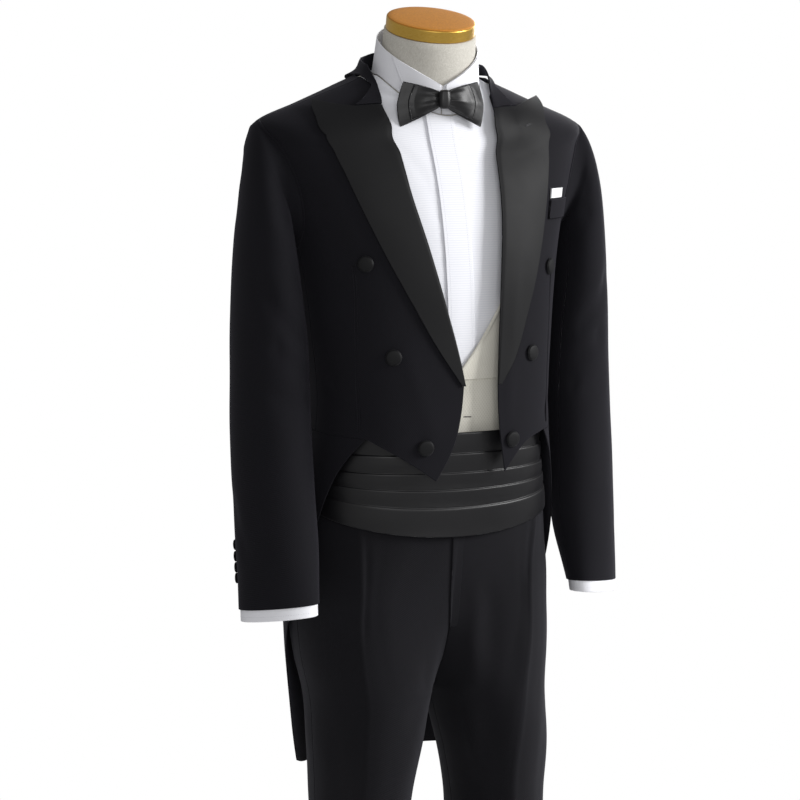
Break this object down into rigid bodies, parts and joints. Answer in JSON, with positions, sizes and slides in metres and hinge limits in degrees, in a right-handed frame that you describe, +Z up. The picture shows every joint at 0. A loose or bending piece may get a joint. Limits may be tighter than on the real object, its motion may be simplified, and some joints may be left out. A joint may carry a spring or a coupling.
{
  "type": "double-breasted tailcoat tuxedo on a dress form",
  "caption": "Open tailcoat with satin peak lapels over a white shirt, bow tie, cream waistcoat, cummerbund and trousers, on a limbless dress form with a round base.",
  "frame": {"origin": "middle of the round base's underside", "axes": "+Z up; the clothes face -Y; +X is the wearer's left"},
  "size_m": [0.5362, 0.38, 1.6155],
  "materials": {
    "coat_wool": "matt worsted wool",
    "lapel_satin": "matt satin facing",
    "sash_satin": "satin",
    "trouser_wool": "matt worsted wool",
    "shirt_cotton": "ribbed cotton",
    "waistcoat_cotton": "matt cotton",
    "pocket_linen": "pressed linen",
    "form_jersey": "speckled jersey",
    "cap_brass": "polished",
    "stand_steel": "satin black"
  },
  "bodies": {
    "root": {"coat_front_left": "coat_wool", "coat_front_right": "coat_wool", "coat_side_left": "coat_wool", "coat_side_right": "coat_wool", "coat_back_left": "coat_wool", "coat_back_right": "coat_wool", "coat_skirt_left": "coat_wool", "coat_skirt_right": "coat_wool", "sleeve_top_left": "coat_wool", "sleeve_top_right": "coat_wool", "sleeve_under_left": "coat_wool", "sleeve_under_right": "coat_wool", "coat_collar": "coat_wool", "breast_welt": "coat_wool", "lapel_left": "lapel_satin", "lapel_right": "lapel_satin", "front_button_left_1": "lapel_satin", "front_button_left_2": "lapel_satin", "front_button_left_3": "lapel_satin", "sleeve_button_left_1": "lapel_satin", "sleeve_button_left_2": "lapel_satin", "sleeve_button_left_3": "lapel_satin", "sleeve_button_left_4": "lapel_satin", "front_button_right_1": "lapel_satin", "front_button_right_2": "lapel_satin", "front_button_right_3": "lapel_satin", "sleeve_button_right_1": "lapel_satin", "sleeve_button_right_2": "lapel_satin", "sleeve_button_right_3": "lapel_satin", "sleeve_button_right_4": "lapel_satin", "bow_loop_left": "sash_satin", "bow_loop_right": "sash_satin", "bow_wing_left": "sash_satin", "bow_wing_right": "sash_satin", "bow_knot": "sash_satin", "cummerbund": "sash_satin", "trouser_front_left": "trouser_wool", "trouser_front_right": "trouser_wool", "trouser_back_left": "trouser_wool", "trouser_back_right": "trouser_wool", "trouser_waistband": "trouser_wool", "shirt_front": "shirt_cotton", "shirt_back": "shirt_cotton", "shirt_placket": "shirt_cotton", "shirt_collar_band": "shirt_cotton", "shirt_wing_left": "shirt_cotton", "shirt_wing_right": "shirt_cotton", "shirt_sleeve_left": "shirt_cotton", "shirt_sleeve_right": "shirt_cotton", "shirt_cuff_left": "shirt_cotton", "shirt_cuff_right": "shirt_cotton", "waistcoat_front_left": "waistcoat_cotton", "waistcoat_front_right": "waistcoat_cotton", "waistcoat_back": "waistcoat_cotton", "waistcoat_band": "waistcoat_cotton", "pocket_square": "pocket_linen", "form_body": "form_jersey", "form_cap": "cap_brass", "stand_pole": "stand_steel", "stand_base": "stand_steel"}
  },
  "joints": []
}
